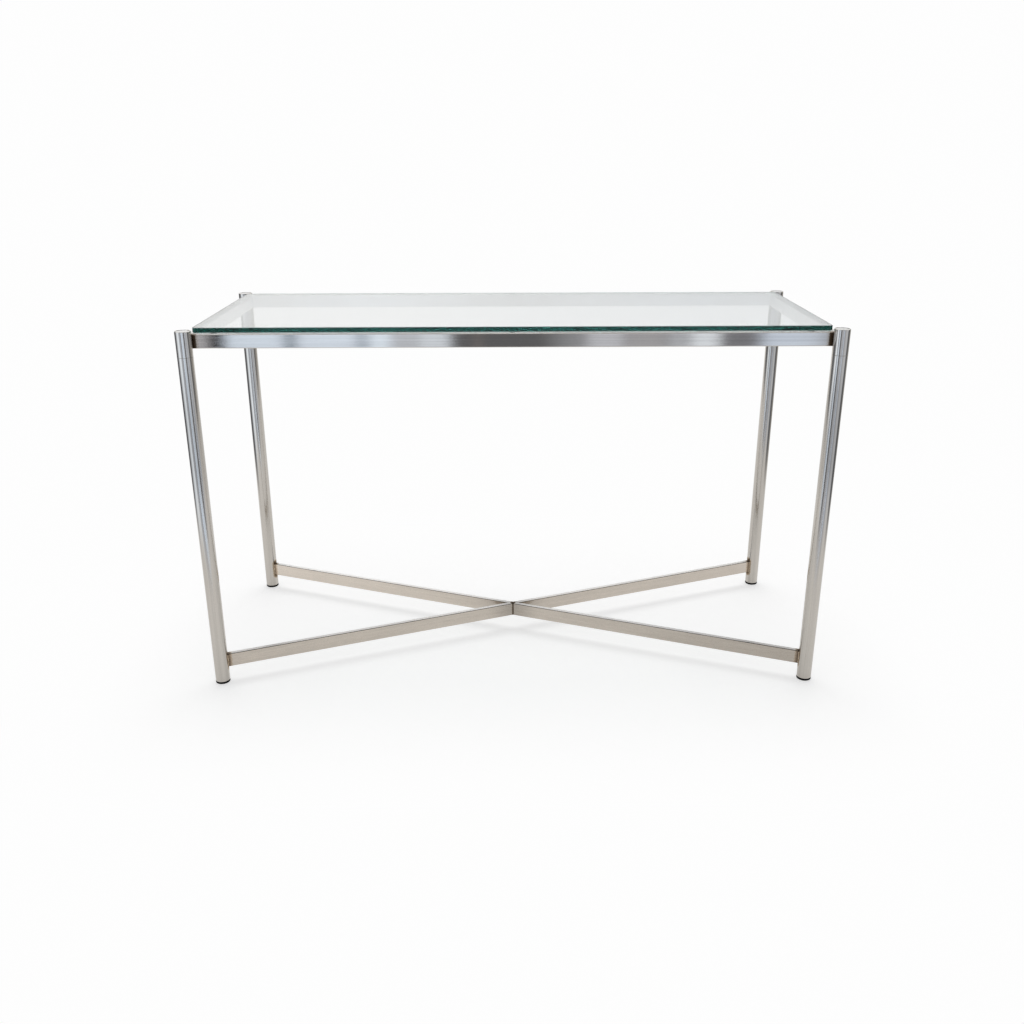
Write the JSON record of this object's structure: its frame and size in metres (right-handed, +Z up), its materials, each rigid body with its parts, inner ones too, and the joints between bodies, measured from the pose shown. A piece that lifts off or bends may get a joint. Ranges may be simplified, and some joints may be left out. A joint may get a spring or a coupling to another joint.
{
  "type": "console table",
  "caption": "Console table with a clear glass top on a brushed steel tube frame, round legs with a low crossed stretcher, and black glides.",
  "frame": {"origin": "on the floor at the middle of the table's footprint", "axes": "+X along the table's length to its right, +Y to its rear, +Z up"},
  "size_m": [1.27, 0.51, 0.75],
  "materials": {
    "glass": "clear tempered glass, faces and bevelled edges polished, dark green seen edge on",
    "clear_bumper": "clear soft polymer",
    "rail_steel": "stainless, fine grain along the rail",
    "leg_steel": "stainless, fine grain along the leg",
    "cap_steel": "stainless, ground flat",
    "hardware_steel": "zinc plated",
    "stretcher_steel": "stainless, satin grain along the bar",
    "weld_steel": "ground weld bead with straw to brown heat tint",
    "black_plastic": "moulded, satin black"
  },
  "bodies": {
    "base": {"bumper_front_left": "clear_bumper", "bumper_front_middle": "clear_bumper", "bumper_front_right": "clear_bumper", "bumper_rear_left": "clear_bumper", "bumper_rear_middle": "clear_bumper", "bumper_rear_right": "clear_bumper", "bumper_side_left": "clear_bumper", "bumper_side_right": "clear_bumper", "rail_front": "rail_steel", "rail_rear": "rail_steel", "rail_left": "rail_steel", "rail_right": "rail_steel", "post_front_left": "leg_steel", "post_front_right": "leg_steel", "post_rear_left": "leg_steel", "post_rear_right": "leg_steel", "leg_front_left": "leg_steel", "leg_front_right": "leg_steel", "leg_rear_left": "leg_steel", "leg_rear_right": "leg_steel", "cap_front_left": "cap_steel", "cap_front_right": "cap_steel", "cap_rear_left": "cap_steel", "cap_rear_right": "cap_steel", "post_plug_front_left": "hardware_steel", "post_plug_front_right": "hardware_steel", "post_plug_rear_left": "hardware_steel", "post_plug_rear_right": "hardware_steel", "leg_plug_front_left": "hardware_steel", "leg_plug_front_right": "hardware_steel", "leg_plug_rear_left": "hardware_steel", "leg_plug_rear_right": "hardware_steel", "stud_front_left": "hardware_steel", "stud_front_right": "hardware_steel", "stud_rear_left": "hardware_steel", "stud_rear_right": "hardware_steel", "glide_front_left": "black_plastic", "glide_front_right": "black_plastic", "glide_rear_left": "black_plastic", "glide_rear_right": "black_plastic", "stretcher_through": "stretcher_steel", "stretcher_half_left": "stretcher_steel", "stretcher_half_right": "stretcher_steel", "frame_welds": "weld_steel", "stretcher_welds": "weld_steel", "centre_welds": "weld_steel"},
    "glass": {"glass_top": "glass"}
  },
  "joints": [
    {"name": "glass_lift", "type": "slide", "parent": "base", "child": "glass", "axis": [0, 0, 1], "range_m": [0, 0.2]}
  ]
}
